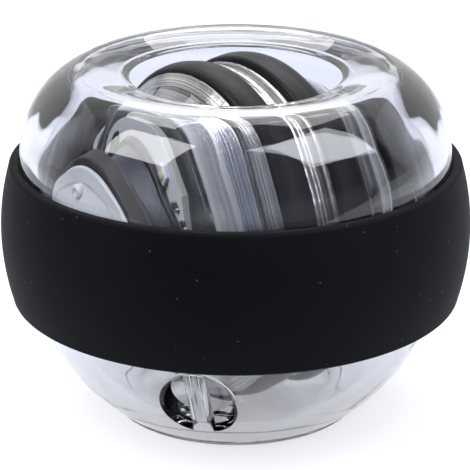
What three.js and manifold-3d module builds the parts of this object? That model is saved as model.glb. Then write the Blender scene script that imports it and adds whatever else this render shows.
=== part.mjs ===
// A gyroscopic wrist ball: a clear two-part casing with a finger opening at the top, a rubber grip
// band round its middle, and a heavy rotor inside. The rotor turns on a steel axle, and the axle's
// ends roll in a groove between the two shells, held in line by a race ring.
// Millimetres, +Z up, origin at the centre of the flat base.
import * as THREE from "three";
import { mergeVertices } from "three/addons/utils/BufferGeometryUtils.js";
import Module from "manifold-3d";

const wasm = await Module();
wasm.setup();

// Driving dimensions of the casing
const shellRadius = 32.5;
const wallThickness = 3.2;
const crownRise = 1.25;
const crownThickness = 3.05;
const openingRadius = 16.2;
const lipWidth = 2.7;
const floorThickness = 2.5;
const bowlOverrun = 5.1;
const baseEdge = 1.2;
const spigotThickness = 0.75;
const seamGap = 0.15;
const grooveDepth = 1.7;

// Driving dimensions of the grip band
const bandThickness = 2.7;
const bandCrown = 1.6;
const bandHalfHeight = 10.5;
const bandEdge = 0.6;
const bandFit = 0.12;

// Driving dimensions of the recess that takes a wrist strap, and of the post across it
const recessHalfWidth = 5.7;
const recessHalfHeight = 7.25;
const recessDepth = 4.3;
const recessWall = 1;
const postRadius = 1.65;
const postInset = 1.35;
const postBite = 0.9;

// Driving dimensions of the race
const ringRunning = 0.3;
const hoopWall = 1.1;
const hoopHalfHeight = 2.2;
const flangeClearance = 0.5;
const carrierSeat = 0.25;
const carrierRim = 0.5;
const tipDrop = 0.25;
const magnetSeat = 0.1;
const magnetStep = 0.8;
const stakeRadius = 1.1;
const stakeHeight = 0.55;
const dimpleRadius = 0.5;
const dimpleDepth = 0.35;

// Driving dimensions of the rotor
const axleRadius = 1;
const axleRunning = 0.1;
const axleFloat = 0.2;
const axlePoint = 0.4;
const boreFit = 0.12;
const floorClearance = 0.95;
const airGap = 0.45;
const bobbinFlange = 0.8;
const coilInset = 0.4;
const boardThickness = 1;
const boardLedge = 1.6;
const bobbinStep = 0.3;
const stackGap = 0.2;
const webThickness = 1.2;
const coverWall = 1.2;
const tyreShoulder = 0.9;
const tyreEdge = 0.35;
const tyreFit = 0.1;
const bandDrop = 1.05;
const cordGrooveOffset = 0.45;
const cordGrooveWidth = 1;
const cordGrooveDepth = 1.3;
const ridgeWidth = 0.5;
const ridgeDrop = 0.35;
const cordHoleRadius = 0.45;
const cordHoleDepth = 4;

// Driving dimensions of what is soldered to the boards
const ledLength = 2;
const ledWidth = 1.25;
const ledHeight = 0.8;
const chipLength = 2.4;
const chipWidth = 1.3;
const chipHeight = 0.7;
const solderGap = 0.05;

// Shares of the rotor's radius, of the race's reach along the axle, and of single lengths
const bobbinLengthShare = 0.1893;
const bobbinCoreShare = 0.0947;
const coverDropShare = 0.1183;
const coverTaperShare = 0.1183;
const coverLengthShare = 0.2406;
const flangeDropShare = 0.0513;
const castOverlapShare = 0.1105;
const castWallShare = 0.1657;
const castWebHalfShare = 0.1183;
const castBossShare = 0.1341;
const tyreWidthShare = 0.1972;
const tyreInsetShare = 0.0868;
const tyreDepthShare = 0.1045;
const carrierDepthShare = 0.1302;
const carrierTipShare = 0.094;
const magnetThicknessShare = 0.0796;
const magnetWidthShare = 0.1772;
const rotorGapShare = 0.1348;
const recessDropShare = 0.6458;

// Numbers that aren't lengths
const crownPower = 3.94;
const domePower = 2.35;
const roundPower = 2;
const recessTurn = THREE.MathUtils.degToRad(-101.5);
const axleTurn = THREE.MathUtils.degToRad(34);
const boardTurn = THREE.MathUtils.degToRad(2.7);
const boardCorners = 8;
const ledCount = 3;
const ledFirstTurn = THREE.MathUtils.degToRad(92);
const chipTurns = [47, 63].map(THREE.MathUtils.degToRad);
const stakeTurns = [9, 129, 249].map(THREE.MathUtils.degToRad);
const overrunShare = 1.5;
const shellSides = 48;
const rotorSides = 32;
const coreSides = 28;
const pinSides = 16;
const scoopSides = 24;

// Casing, in heights above the race's plane
const innerRadius = shellRadius - wallThickness;
const grooveRadius = innerRadius + grooveDepth;
const grooveHalf = axleRadius + axleRunning;
const spigotRadius = grooveRadius + spigotThickness;
const rotorRadius = innerRadius * (1 - rotorGapShare);
const floorDrop = rotorRadius + floorClearance;
const baseDrop = floorDrop + floorThickness;
const recessDrop = baseDrop * recessDropShare;
const bowlDepth = baseDrop + bowlOverrun;
const bowlInnerDepth = bowlDepth - wallThickness;
const crownHeight = rotorRadius + crownRise;
const domeHeight = crownHeight - crownThickness;
const lipRadius = openingRadius + lipWidth;

// Race, in distances from the ball's centre along the axle
const hoopOuter = innerRadius - ringRunning;
const hoopInner = hoopOuter - hoopWall;
const flangeRadius = grooveRadius - flangeClearance;
const flangeHalf = grooveHalf - ringRunning;
const reach = hoopInner - carrierSeat;
const carrierBack = reach * (1 - carrierDepthShare);
const carrierFace = carrierBack + carrierRim;
const carrierRadius = Math.sqrt(reach ** 2 - carrierFace ** 2);
const carrierTip = reach * carrierTipShare;
const magnetOuterFace = carrierBack - magnetSeat;
const magnetInnerFace = magnetOuterFace - reach * magnetThicknessShare;
const magnetRadius = carrierRadius + magnetStep;
const magnetBore = magnetRadius - reach * magnetWidthShare;
const neckRadius = magnetBore - magnetSeat;
const neckFace = magnetInnerFace + magnetSeat;
const stakeCentre = (magnetBore + magnetRadius) / 2 - stakeRadius;

// Rotor, in distances from the ball's centre along the axle, from the coils inwards
const boreRadius = axleRadius + boreFit;
const bobbinFace = magnetInnerFace - airGap;
const bobbinBack = bobbinFace - rotorRadius * bobbinLengthShare;
const coilStart = bobbinBack + bobbinFlange + solderGap;
const coilEnd = bobbinFace - bobbinFlange - solderGap;
const boardFace = bobbinBack - stackGap;
const boardBack = boardFace - boardThickness;
const webFace = boardBack - stackGap;
const webBack = webFace - webThickness;
const coverFoot = webFace - rotorRadius * coverLengthShare;
const castOverlap = rotorRadius * castOverlapShare;
const castFace = coverFoot + castOverlap;
const bossFace = webBack - stackGap;
const flangeFace = coverFoot - stackGap;
const flangeRadiusCast = rotorRadius * (1 - flangeDropShare);
const coverRadius = rotorRadius * (1 - coverDropShare);
const coverTaper = rotorRadius * coverTaperShare;
const coverMouth = coverRadius - coverTaper;
const bobbinRadius = carrierRadius - bobbinStep;
const bobbinCoreRadius = boreRadius + rotorRadius * bobbinCoreShare;
const boardFlat = bobbinRadius + boardLedge;
const boardRadius = boardFlat / Math.cos(Math.PI / boardCorners);
const bossRadius = boreRadius + rotorRadius * castBossShare;
const tyreInset = rotorRadius * tyreInsetShare;
const tyreWidth = rotorRadius * tyreWidthShare;
const tyreOuterFace = tyreInset + tyreWidth;
const tyreBore = rotorRadius * (1 - tyreDepthShare);
const seatRadius = tyreBore - tyreFit;
const centreRadius = rotorRadius - bandDrop;

// Points of the curve (x/a)^n + (z/b)^n = 1 from one direction to another, seen from its centre.
function curve(a, b, n, from, to, steps) {
  return Array.from({ length: steps + 1 }, (_, i) => {
    const angle = from + ((to - from) * i) / steps;
    const x = Math.abs(Math.cos(angle));
    const z = Math.abs(Math.sin(angle));
    const length = ((x / a) ** n + (z / b) ** n) ** (-1 / n);
    return [length * Math.cos(angle), length * Math.sin(angle)];
  });
}

// Height of that curve at radius x, and its radius at height z.
const heightAt = (a, b, n, x) => b * (1 - (x / a) ** n) ** (1 / n);
const radiusAt = (a, b, n, z) => a * (1 - (Math.abs(z) / b) ** n) ** (1 / n);

// A stretch of an ellipse about a centre, with its ends.
function roundTo(centreX, centreZ, a, b, from, to, steps) {
  return curve(a, b, roundPower, from, to, steps).map(([x, z]) => [centreX + x, centreZ + z]);
}

// Turns an outline of [radius, height] points, traced anticlockwise, about +Z.
// It closes on itself, unless it starts and ends on the axis.
function turned(outline, sides) {
  const points = outline.map(([radius, height]) => new THREE.Vector2(radius, height));
  if (outline[0][0] !== 0) points.push(points[0].clone());
  return new THREE.LatheGeometry(points, sides).rotateX(Math.PI / 2);
}

// The same about +X, which is the axle's own direction.
const turnedOnAxle = (outline, sides) => turned(outline, sides).rotateY(Math.PI / 2);

function toSolid(geometry) {
  const bare = geometry.clone();
  bare.deleteAttribute("normal");
  bare.deleteAttribute("uv");
  const merged = mergeVertices(bare);
  return new wasm.Manifold(
    new wasm.Mesh({
      numProp: 3,
      vertProperties: merged.attributes.position.array,
      triVerts: new Uint32Array(merged.index.array),
    }),
  );
}

function toGeometry(solid) {
  const mesh = solid.getMesh();
  const geometry = new THREE.BufferGeometry();
  geometry.setAttribute("position", new THREE.BufferAttribute(mesh.vertProperties, 3));
  geometry.setIndex(new THREE.BufferAttribute(mesh.triVerts, 1));
  const faceted = geometry.toNonIndexed();
  faceted.computeVertexNormals();
  return faceted;
}

function finish(color, roughness, metalness, opacity = 1) {
  return new THREE.MeshStandardMaterial({
    color,
    roughness,
    metalness,
    opacity,
    transparent: opacity < 1,
  });
}

function named(name, geometry, material) {
  const mesh = new THREE.Mesh(geometry, material);
  mesh.name = name;
  return mesh;
}

// Casing

function makeUpperShell() {
  const outerLip = heightAt(shellRadius, crownHeight, crownPower, lipRadius);
  const innerLip = heightAt(innerRadius, domeHeight, domePower, lipRadius);
  const lipHalf = (outerLip - innerLip) / 2;
  const grooveTop = radiusAt(innerRadius, domeHeight, domePower, grooveHalf);
  const outside = curve(shellRadius, crownHeight, crownPower, 0, Math.atan2(outerLip, lipRadius), 9);
  const lip = roundTo(
    lipRadius, innerLip + lipHalf, lipWidth, lipHalf, Math.PI / 2, Math.PI * 1.5, 5);
  const inside = curve(
    innerRadius,
    domeHeight,
    domePower,
    Math.atan2(innerLip, lipRadius),
    Math.atan2(grooveHalf, grooveTop),
    5,
  );
  return turned(
    [
      [spigotRadius + seamGap, grooveHalf],
      [spigotRadius + seamGap, 0],
      ...outside.slice(0, -1),
      ...lip,
      ...inside.slice(1),
    ],
    shellSides,
  );
}

// The lower shell's outside, from the base's rim to the seam.
function bowlOutside() {
  const edgeStart = radiusAt(shellRadius, bowlDepth, roundPower, baseDrop - baseEdge);
  const baseRadius = radiusAt(shellRadius, bowlDepth, roundPower, baseDrop) - baseEdge;
  const edge = roundTo(
    baseRadius, -baseDrop + baseEdge, edgeStart - baseRadius, baseEdge, -Math.PI / 2, 0, 3);
  const side = curve(
    shellRadius,
    bowlDepth,
    roundPower,
    -Math.atan2(baseDrop - baseEdge, edgeStart),
    -Math.atan2(seamGap, shellRadius),
    7,
  );
  return [...edge.slice(0, -1), ...side];
}

function makeBowl() {
  const grooveLow = radiusAt(innerRadius, bowlInnerDepth, roundPower, grooveHalf);
  const floorRadius = radiusAt(innerRadius, bowlInnerDepth, roundPower, floorDrop);
  const inside = curve(
    innerRadius,
    bowlInnerDepth,
    roundPower,
    -Math.atan2(grooveHalf, grooveLow),
    -Math.atan2(floorDrop, floorRadius),
    6,
  );
  return turned(
    [
      [0, -baseDrop],
      ...bowlOutside(),
      [spigotRadius, -seamGap],
      [spigotRadius, grooveHalf - seamGap],
      [grooveRadius, grooveHalf - seamGap],
      [grooveRadius, -grooveHalf],
      ...inside,
      [0, -floorDrop],
    ],
    shellSides,
  );
}

// Puts a shape drawn about the origin on the bowl's outside, its x along the wall's slope,
// its y round the bowl and its z straight out of the wall.
function placeOnBowl(geometry, inset) {
  const radius = radiusAt(shellRadius, bowlDepth, roundPower, recessDrop);
  const slope = Math.atan2(recessDrop / bowlDepth ** 2, radius / shellRadius ** 2);
  return geometry
    .translate(0, 0, -inset)
    .rotateY(Math.PI / 2 + slope)
    .translate(radius, 0, -recessDrop)
    .rotateZ(recessTurn);
}

function scoop(extra) {
  const ball = new THREE.SphereGeometry(1, scoopSides, scoopSides / 2).rotateX(Math.PI / 2);
  const shape = ball.scale(recessHalfHeight + extra, recessHalfWidth + extra, recessDepth + extra);
  return toSolid(placeOnBowl(shape, 0));
}

function makeLowerShell() {
  const inWall = toSolid(turned([[0, -baseDrop], ...bowlOutside(), [0, -seamGap]], shellSides));
  const postLength = 2 * (recessHalfHeight + postBite);
  const post = new THREE.CylinderGeometry(postRadius, postRadius, postLength, pinSides);
  const pocket = scoop(recessWall).intersect(inWall);
  const across = toSolid(placeOnBowl(post.rotateZ(Math.PI / 2), postInset)).intersect(pocket);
  return toGeometry(toSolid(makeBowl()).add(pocket).subtract(scoop(0)).add(across));
}

function makeGripBand() {
  const bulge = shellRadius + bandThickness;
  const outerAt = (z) => bulge - bandCrown * (z / bandHalfHeight) ** 2;
  const shellAt = (z) =>
    (z > 0
      ? radiusAt(shellRadius, crownHeight, crownPower, z)
      : radiusAt(shellRadius, bowlDepth, roundPower, z)) + bandFit;
  const straight = bandHalfHeight - bandEdge;
  const heights = (from, to, steps) =>
    Array.from({ length: steps + 1 }, (_, i) => from + ((to - from) * i) / steps);
  const edge = outerAt(straight) - bandEdge;
  return turned(
    [
      ...heights(bandHalfHeight, -bandHalfHeight, 5).map((z) => [shellAt(z), z]),
      ...roundTo(edge, -straight, bandEdge, bandEdge, -Math.PI / 2, 0, 2).slice(0, -1),
      ...heights(-straight, straight, 7).map((z) => [outerAt(z), z]),
      ...roundTo(edge, straight, bandEdge, bandEdge, 0, Math.PI / 2, 2).slice(1),
    ],
    shellSides,
  );
}

// Race

function makeRaceRing() {
  const hoop = toSolid(
    turned(
      [
        [hoopInner, -hoopHalfHeight],
        [hoopOuter, -hoopHalfHeight],
        [hoopOuter, -flangeHalf],
        [flangeRadius, -flangeHalf],
        [flangeRadius, flangeHalf],
        [hoopOuter, flangeHalf],
        [hoopOuter, hoopHalfHeight],
        [hoopInner, hoopHalfHeight],
      ],
      shellSides,
    ),
  );
  const length = flangeRadius * 2 * overrunShare;
  const drill = new THREE.CylinderGeometry(boreRadius, boreRadius, length, pinSides);
  return toGeometry(hoop.subtract(toSolid(drill.rotateZ(Math.PI / 2))));
}

// The cone that carries the magnet and hides the axle's end, with its heat stakes.
function makeCarrier() {
  const tipFace = reach - tipDrop;
  const slope = (tipFace - carrierFace) / (carrierRadius - carrierTip);
  const cone = toSolid(
    turnedOnAxle(
      [
        [boreRadius, neckFace],
        [neckRadius, neckFace],
        [neckRadius, carrierBack],
        [carrierRadius, carrierBack],
        [carrierRadius, carrierFace],
        [carrierTip, tipFace],
        [carrierTip, reach],
        [boreRadius, reach],
      ],
      coreSides,
    ),
  );
  const stakeFace = tipFace - slope * (stakeCentre - carrierTip) + stakeHeight;
  const stake = turnedOnAxle(
    [
      [0, carrierBack + carrierRim / 2],
      [stakeRadius, carrierBack + carrierRim / 2],
      [stakeRadius, stakeFace - dimpleDepth],
      [dimpleRadius + (stakeRadius - dimpleRadius) / 2, stakeFace],
      [dimpleRadius, stakeFace],
      [0, stakeFace - dimpleDepth],
    ],
    pinSides,
  );
  return toGeometry(
    stakeTurns.reduce(
      (solid, turn) => solid.add(toSolid(stake.clone().translate(0, 0, stakeCentre).rotateX(turn))),
      cone,
    ),
  );
}

function makeMagnet() {
  return turnedOnAxle(
    [
      [magnetBore, magnetInnerFace],
      [magnetRadius, magnetInnerFace],
      [magnetRadius, magnetOuterFace],
      [magnetBore, magnetOuterFace],
    ],
    coreSides,
  );
}

// Rotor

function makeAxle() {
  const end = grooveRadius - axleFloat;
  return turnedOnAxle(
    [
      [0, -end],
      [axleRadius - axlePoint, -end],
      [axleRadius, -end + axlePoint],
      [axleRadius, end - axlePoint],
      [axleRadius - axlePoint, end],
      [0, end],
    ],
    pinSides,
  );
}

// One end of the cast flywheel, from the tyre's seat out to its boss, traced outwards.
function castEnd() {
  const coneTop = coverRadius - coverWall - stackGap;
  const coneFoot = coneTop - (coverTaper * castOverlap) / (webBack - coverFoot);
  const flangeStart = tyreOuterFace + tyreFit;
  const wallInner = coneTop - rotorRadius * castWallShare;
  const webHalf = rotorRadius * castWebHalfShare;
  return [
    [seatRadius, flangeStart],
    [flangeRadiusCast, flangeStart],
    [coverRadius, flangeFace],
    [coneTop, flangeFace],
    [coneFoot, castFace],
    [wallInner, castFace],
    [wallInner, webHalf],
    [bossRadius, webHalf],
    [bossRadius, bossFace],
    [boreRadius, bossFace],
  ];
}

function makeFlywheel() {
  const seatStart = tyreInset - tyreFit;
  const grooveFloor = centreRadius - cordGrooveDepth;
  const grooveLow = cordGrooveOffset - cordGrooveWidth / 2;
  const grooveHigh = cordGrooveOffset + cordGrooveWidth / 2;
  const far = castEnd();
  const near = far.map(([radius, along]) => [radius, -along]).reverse();
  const cast = toSolid(
    turnedOnAxle(
      [
        ...near,
        [seatRadius, -seatStart],
        [centreRadius - ridgeDrop, -seatStart],
        [centreRadius, grooveLow - ridgeWidth / 2],
        [grooveFloor, grooveLow],
        [grooveFloor, grooveHigh - ridgeWidth / 2],
        [centreRadius, grooveHigh],
        [centreRadius, grooveHigh + ridgeWidth],
        [centreRadius - ridgeDrop, grooveHigh + ridgeWidth],
        [centreRadius - ridgeDrop, seatStart],
        [seatRadius, seatStart],
        ...far,
      ],
      rotorSides,
    ),
  );
  const drill = new THREE.CylinderGeometry(cordHoleRadius, cordHoleRadius, cordHoleDepth * 2, pinSides);
  drill.rotateX(Math.PI / 2).translate(cordGrooveOffset, 0, -grooveFloor);
  return toGeometry(cast.subtract(toSolid(drill)));
}

function makeTyre() {
  const top = rotorRadius - tyreEdge;
  return turnedOnAxle(
    [
      [tyreBore, tyreInset],
      [top - tyreEdge, tyreInset],
      [top, tyreInset + tyreEdge],
      [rotorRadius, tyreInset + tyreWidth / 2],
      [top, tyreOuterFace - tyreShoulder],
      [rotorRadius - tyreShoulder, tyreOuterFace],
      [tyreBore, tyreOuterFace],
    ],
    rotorSides,
  );
}

function makeHubCover() {
  return turnedOnAxle(
    [
      [bossRadius, webBack],
      [coverMouth - coverWall, webBack],
      [coverRadius - coverWall, coverFoot],
      [coverRadius, coverFoot],
      [coverMouth, webFace],
      [bossRadius, webFace],
    ],
    rotorSides,
  );
}

function makeBoard() {
  const shape = new THREE.Shape();
  for (let i = 0; i < boardCorners; i++) {
    const turn = (i / boardCorners) * Math.PI * 2;
    shape[i ? "lineTo" : "moveTo"](boardRadius * Math.cos(turn), boardRadius * Math.sin(turn));
  }
  shape.closePath();
  const hole = new THREE.Path();
  hole.absarc(0, 0, boreRadius, 0, Math.PI * 2, true);
  shape.holes.push(hole);
  return new THREE.ExtrudeGeometry(shape, {
    depth: boardThickness,
    bevelEnabled: false,
    curveSegments: pinSides,
  })
    .rotateZ(Math.PI / 2)
    .rotateY(Math.PI / 2)
    .rotateX(boardTurn)
    .translate(boardBack, 0, 0);
}

function makeBobbin() {
  return turnedOnAxle(
    [
      [boreRadius, bobbinBack],
      [bobbinRadius, bobbinBack],
      [bobbinRadius, bobbinBack + bobbinFlange],
      [bobbinCoreRadius, bobbinBack + bobbinFlange],
      [bobbinCoreRadius, bobbinFace - bobbinFlange],
      [bobbinRadius, bobbinFace - bobbinFlange],
      [bobbinRadius, bobbinFace],
      [boreRadius, bobbinFace],
    ],
    coreSides,
  );
}

function makeCoil() {
  const core = bobbinCoreRadius + solderGap;
  return turnedOnAxle(
    [
      [core, coilStart],
      [bobbinRadius - coilInset, coilStart],
      [bobbinRadius - coilInset, coilEnd],
      [core, coilEnd],
    ],
    coreSides,
  );
}

// What stands on a board's rim, turned about the axle from the top.
function onBoard(geometry, turn) {
  const centre = (bobbinRadius + boardFlat) / 2;
  return geometry.translate(boardFace + solderGap, 0, centre).rotateX(turn);
}

function makeLed(turn) {
  const body = new THREE.BoxGeometry(ledHeight, ledLength, ledWidth).translate(ledHeight / 2, 0, 0);
  return onBoard(body, turn);
}

function makeChip(turn) {
  const body = new THREE.BoxGeometry(chipHeight, chipLength, chipWidth);
  return onBoard(body.translate(chipHeight / 2, 0, 0), turn);
}

// Assembly

const ball = new THREE.Group();
ball.add(
  named("upper_shell", makeUpperShell(), finish(0xf4f6fa, 0.05, 0, 0.3)),
  named("lower_shell", makeLowerShell(), finish(0xf4f6fa, 0.05, 0, 0.3)),
  named("grip_band", makeGripBand(), finish(0x101116, 0.6, 0)),
);
ball.position.z = baseDrop;

const race = new THREE.Group();
race.rotation.z = axleTurn;
race.add(named("race_ring", makeRaceRing(), finish(0xe9eaec, 0.4, 0)));
ball.add(race);

const rotor = new THREE.Group();
rotor.add(
  named("axle", makeAxle(), finish(0xb9bcc2, 0.25, 1)),
  named("flywheel", makeFlywheel(), finish(0xa9acb2, 0.4, 1)),
);
race.add(rotor);

for (const [side, halfTurn] of [["left", Math.PI], ["right", 0]]) {
  const end = new THREE.Group();
  end.rotation.z = halfTurn;
  end.add(
    named(side + "_magnet_carrier", makeCarrier(), finish(0xf1f2f4, 0.4, 0)),
    named(side + "_ring_magnet", makeMagnet(), finish(0x352b2c, 0.55, 0.1)),
    named(side + "_tyre", makeTyre(), finish(0x17181c, 0.55, 0)),
    named(side + "_hub_cover", makeHubCover(), finish(0xdfe3ea, 0.1, 0, 0.4)),
    named(side + "_circuit_board", makeBoard(), finish(0xf3f5f7, 0.45, 0)),
    named(side + "_coil_bobbin", makeBobbin(), finish(0x2b2c31, 0.5, 0)),
    named(side + "_coil", makeCoil(), finish(0x4a3a36, 0.5, 0.2)),
  );
  for (let i = 0; i < ledCount; i++) {
    const turn = ledFirstTurn + (i / ledCount) * Math.PI * 2;
    end.add(named(side + "_led_" + (i + 1), makeLed(turn), finish(0xf6f2d8, 0.3, 0)));
  }
  chipTurns.forEach((turn, i) =>
    end.add(named(side + "_chip_" + (i + 1), makeChip(turn), finish(0x191a1d, 0.45, 0))));
  race.add(end);
}

export default ball;
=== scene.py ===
# A gyroscopic wrist ball, dressed for its picture: a clear polycarbonate casing with a finger
# opening, a silicone grip band, and a heavy rotor that is seen through the casing.
# Sizes are millimetres where nothing else is said. Heights are measured from the race's plane,
# and places along the axle from the ball's centre. An outline is a list of (radius, height), in
# which a third number is the size of that corner's rounding.
import math

import bmesh
import bpy
from bpy.props import FloatProperty, FloatVectorProperty, IntProperty, PointerProperty
from mathutils import Matrix, Vector
from mathutils.geometry import interpolate_bezier


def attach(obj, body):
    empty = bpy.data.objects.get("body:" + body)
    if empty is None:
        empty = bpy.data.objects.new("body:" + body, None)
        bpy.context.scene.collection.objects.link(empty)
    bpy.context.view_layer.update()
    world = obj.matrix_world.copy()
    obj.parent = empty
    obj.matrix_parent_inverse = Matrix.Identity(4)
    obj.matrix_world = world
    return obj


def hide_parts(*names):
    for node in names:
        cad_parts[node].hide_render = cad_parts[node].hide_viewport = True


bl_info = {
    "name": "Gyroscopic wrist ball",
    "version": (1, 0, 0),
    "blender": (4, 5, 0),
    "location": "View3D > Sidebar > Wrist ball",
    "description": "Builds the dressed pieces of a gyroscopic wrist ball over its packed frame",
    "category": "Object",
}

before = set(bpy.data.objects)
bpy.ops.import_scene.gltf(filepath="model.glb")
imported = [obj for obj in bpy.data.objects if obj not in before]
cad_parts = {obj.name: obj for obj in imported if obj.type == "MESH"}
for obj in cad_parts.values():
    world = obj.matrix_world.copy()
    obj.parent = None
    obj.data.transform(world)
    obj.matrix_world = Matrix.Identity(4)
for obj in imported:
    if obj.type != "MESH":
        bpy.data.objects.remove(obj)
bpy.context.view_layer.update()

MM = 0.001
EQUATOR = 28.8
AXLE_TURN = math.radians(34)
SIDES = (("left", 180), ("right", 0))

# Ovals of the casing's walls: half width, half height and power
SHELL, INNER = 32.5, 29.3
OUTER_TOP, INNER_TOP = (SHELL, 26.6, 3.94), (INNER, 23.5, 3.94)
OUTER_BOWL, INNER_BOWL = (SHELL, 33.9, 2), (INNER, 30.7, 2)

# The dish round the opening and the wall under it. A pull is how far a curve keeps its direction
CREST, LIP, LIP_WIDTH, LIP_HALF = 23.5, 17.3, 1.6, 0.35
CREST_PULL, DISH_PULL, DISH_RISE = 1.2, 3, 0.9
UNDER, UNDER_TOP, UNDER_RISE = 28.6, 22.1, 0.75
UNDER_LIP_PULL, UNDER_LIP_RISE, UNDER_IN_PULL, UNDER_OUT_PULL, UNDER_PULL = 1.6, 0.4, 1.3, 3.1, 1.1

# Base, groove, seam, band and strap recess
BASE, FLOOR, BASE_EDGE = 28.8, 26.3, 1.2
GROOVE, GROOVE_HALF, SPIGOT, SEAM = 31.0, 1.1, 31.75, 0.15
BAND_OUT, BAND_CROWN, BAND_HALF, BAND_ROLL, BAND_FIT = 35.2, 1.6, 10.5, 0.6, 0.12
RECESS_DROP, RECESS_TURN = 18.6, math.radians(-101.5)
RECESS_SIZE, RECESS_WALL = (7.25, 5.7, 4.3), 1.0
POST, POST_HALF, POST_INSET = 1.65, 9, 1.35

# Race, magnets and their carriers
HOOP_IN, HOOP_OUT, HOOP_HALF, FLANGE, FLANGE_HALF = 27.9, 29.0, 2.2, 30.5, 0.8
REACH, CARRIER_BACK, CARRIER_FACE, CARRIER = 27.65, 24.05, 24.55, 12.72
CARRIER_TIP, TIP_DROP, CARRIER_RIM, RIM_BEVEL, RIM_STEP = 2.6, 0.25, 1.5, 0.3, 0.15
MAGNET_OUT, MAGNET_IN, MAGNET, MAGNET_BORE, MAGNET_SEAT = 23.95, 21.75, 13.52, 8.62, 0.1
STAKE, STAKE_TOP, STAKE_RISE, STAKE_ROOT = 1.1, 0.8, 0.55, 0.2
STAKE_CENTRE, STAKE_TURNS, DIMPLE, DIMPLE_DEPTH = 9.97, (9, 129, 249), 0.5, 0.35
BORE, AXLE, AXLE_END, AXLE_POINT, AXLE_TAPER, DRILL_HALF = 1.12, 1.0, 30.8, 0.6, 0.4, 40

# Flywheel and tyres
ROTOR, SEAT, CENTRE = 25.35, 22.6, 24.3
TYRE_IN, TYRE_OUT, TYRE_BORE, TYRE_FIT = 2.2, 7.2, 22.7, 0.1
TYRE_CREST, TYRE_ROLL, TYRE_SHOULDER = 4.7, 0.35, 0.9
CAST_FLANGE, FLANGE_FACE, CAST_FACE, CAST_WALL, CAST_FLOOR = 24.05, 8.8, 11.8, 16.75, 3
CONE_TOP, CONE_FOOT, BOSS, BOSS_FACE = 20.95, 19.24, 4.52, 13.7
CORD_DEPTH, CORD_HOLE, CORD_HOLE_PLACE, CORD_HOLE_DEPTH = 1.3, 0.45, 0.45, 4
# The middle band's corners: drop below CENTRE, place along the axle and rounding
CORD_BAND = (
    (0.35, -2.1, 0.12),
    (0.3, -1.45, 0.1),
    (0, -1.1, 0.15),
    (0, -0.45, 0.12),
    (CORD_DEPTH, -0.05, 0.2),
    (CORD_DEPTH, 0.6, 0.2),
    (0, 0.95, 0.1),
    (0, 1.45, 0.12),
    (0.35, 1.5, 0.1),
    (0.35, 2.1, 0.12),
)
CHATTER = 0.025

# Covers, boards, bobbins and coils
COVER, COVER_MOUTH, COVER_FOOT, COVER_WALL, COVER_RIM = 22.35, 19.35, 9.0, 1.2, 1.5
WEB_BACK, WEB_FACE, WEB_DROP, MILKY_SLOPES = 13.9, 15.1, 0.3, (0.2, 0.95)
BOARD_BACK, BOARD_FACE, BOARD, BOARD_FLAT, BOARD_TURN = 15.3, 16.3, 15.17, 12.9, -77
BOARD_CUTTER = 60
BOBBIN_BACK, BOBBIN_FACE, BOBBIN, BOBBIN_CORE, BOBBIN_FLANGE = 16.5, 21.3, 12.42, 3.52, 0.8
COIL_GAP, COIL_INSET, RIDGE, RIDGE_STEPS = 0.05, 0.4, 0.13, 6

# Small parts on the boards: size out from the axle, round it and off the board, then the
# rounding of its edges and the height of its middle
LED_BODY = (1.25, 2.0, 0.5), 0.08, 0.25
CHIP_BODY = (0.9, 2.36, 0.6), 0.06, 0.35
CHIP_LEG = (0.24, 0.3, 0.2), 0.04, 0.11
RESISTOR = (0.8, 0.9, 0.45), 0.05, 0.2
RESISTOR_END = (0.82, 0.34, 0.47), 0.08, 0.2
LENS, LENS_CROWN, LEG_OUT, LEG_PITCH, END_OUT = 0.5, 0.28, 0.53, 0.8, 0.6
PART_OUT, PART_GAP, LED_TURNS, CHIP_TURNS = 13.22, 0.05, (92, 212, 332), (47, 63)
RESISTOR_PLACES = ((314, 13.3), (301, 13.5), (150, 13.4), (190, 13.4))

# Studio, in metres: each softbox hangs by a corner. Its name, direction from the ball, the way
# that its first diagonal lies, its two diagonals, the light that it gives, and how much brighter
# it stands in mirrored surfaces
LAMP_DISTANCE = 0.6
SOFTBOXES = (
    ("key_softbox", (0.58, -0.283, 0.764), (0.784, 0.417, -0.546), (0.72, 0.44), 4.5, 5.5),
    ("fill_softbox", (-0.595, -0.278, 0.754), (-0.6, 0.2, -0.5), (0.52, 0.48), 7.5, 0.5),
    ("back_softbox", (0, 0.53, 0.85), (1, 0, 0), (0.9, 0.4), 3.0, 0.5),
)
# The paper lies a tenth of a millimetre low, because light inside the base skips what touches it
PAPER_REACH, PAPER_FRONT, PAPER_HEIGHT, PAPER_GLOW = 1.5, -0.16, -0.1 * MM, 0.72
CAMERA_PLACE, CAMERA_PITCH = (0, -0.3294, 0.1489), 0.355
CAMERA_SENSOR, CAMERA_LENS, CAMERA_SHIFT = 36, 178.26, -0.0015


# Shapes


def oval(a, b, power, start, end, steps):
    """Points of (x/a)^power + (z/b)^power = 1 between two directions in degrees."""
    points = []
    for i in range(steps + 1):
        turn = math.radians(start + (end - start) * i / steps)
        x, z = math.cos(turn), math.sin(turn)
        length = (abs(x / a) ** power + abs(z / b) ** power) ** (-1 / power)
        points.append((length * x, length * z))
    return points


def arc(x, z, width, height, start, end, steps):
    """Points of an arc round (x, z) with these half sizes, between two directions in degrees."""
    return [(x + width * a, z + height * b) for a, b in oval(1, 1, 2, start, end, steps)]


def height_at(a, b, power, x):
    return b * (1 - (x / a) ** power) ** (1 / power)


def radius_at(a, b, power, z):
    return a * (1 - (abs(z) / b) ** power) ** (1 / power)


def steepness_at(a, b, power, x):
    return (b / a) ** power * (x / height_at(a, b, power, x)) ** (power - 1)


def direction(x, z):
    return math.degrees(math.atan2(z, x))


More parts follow.
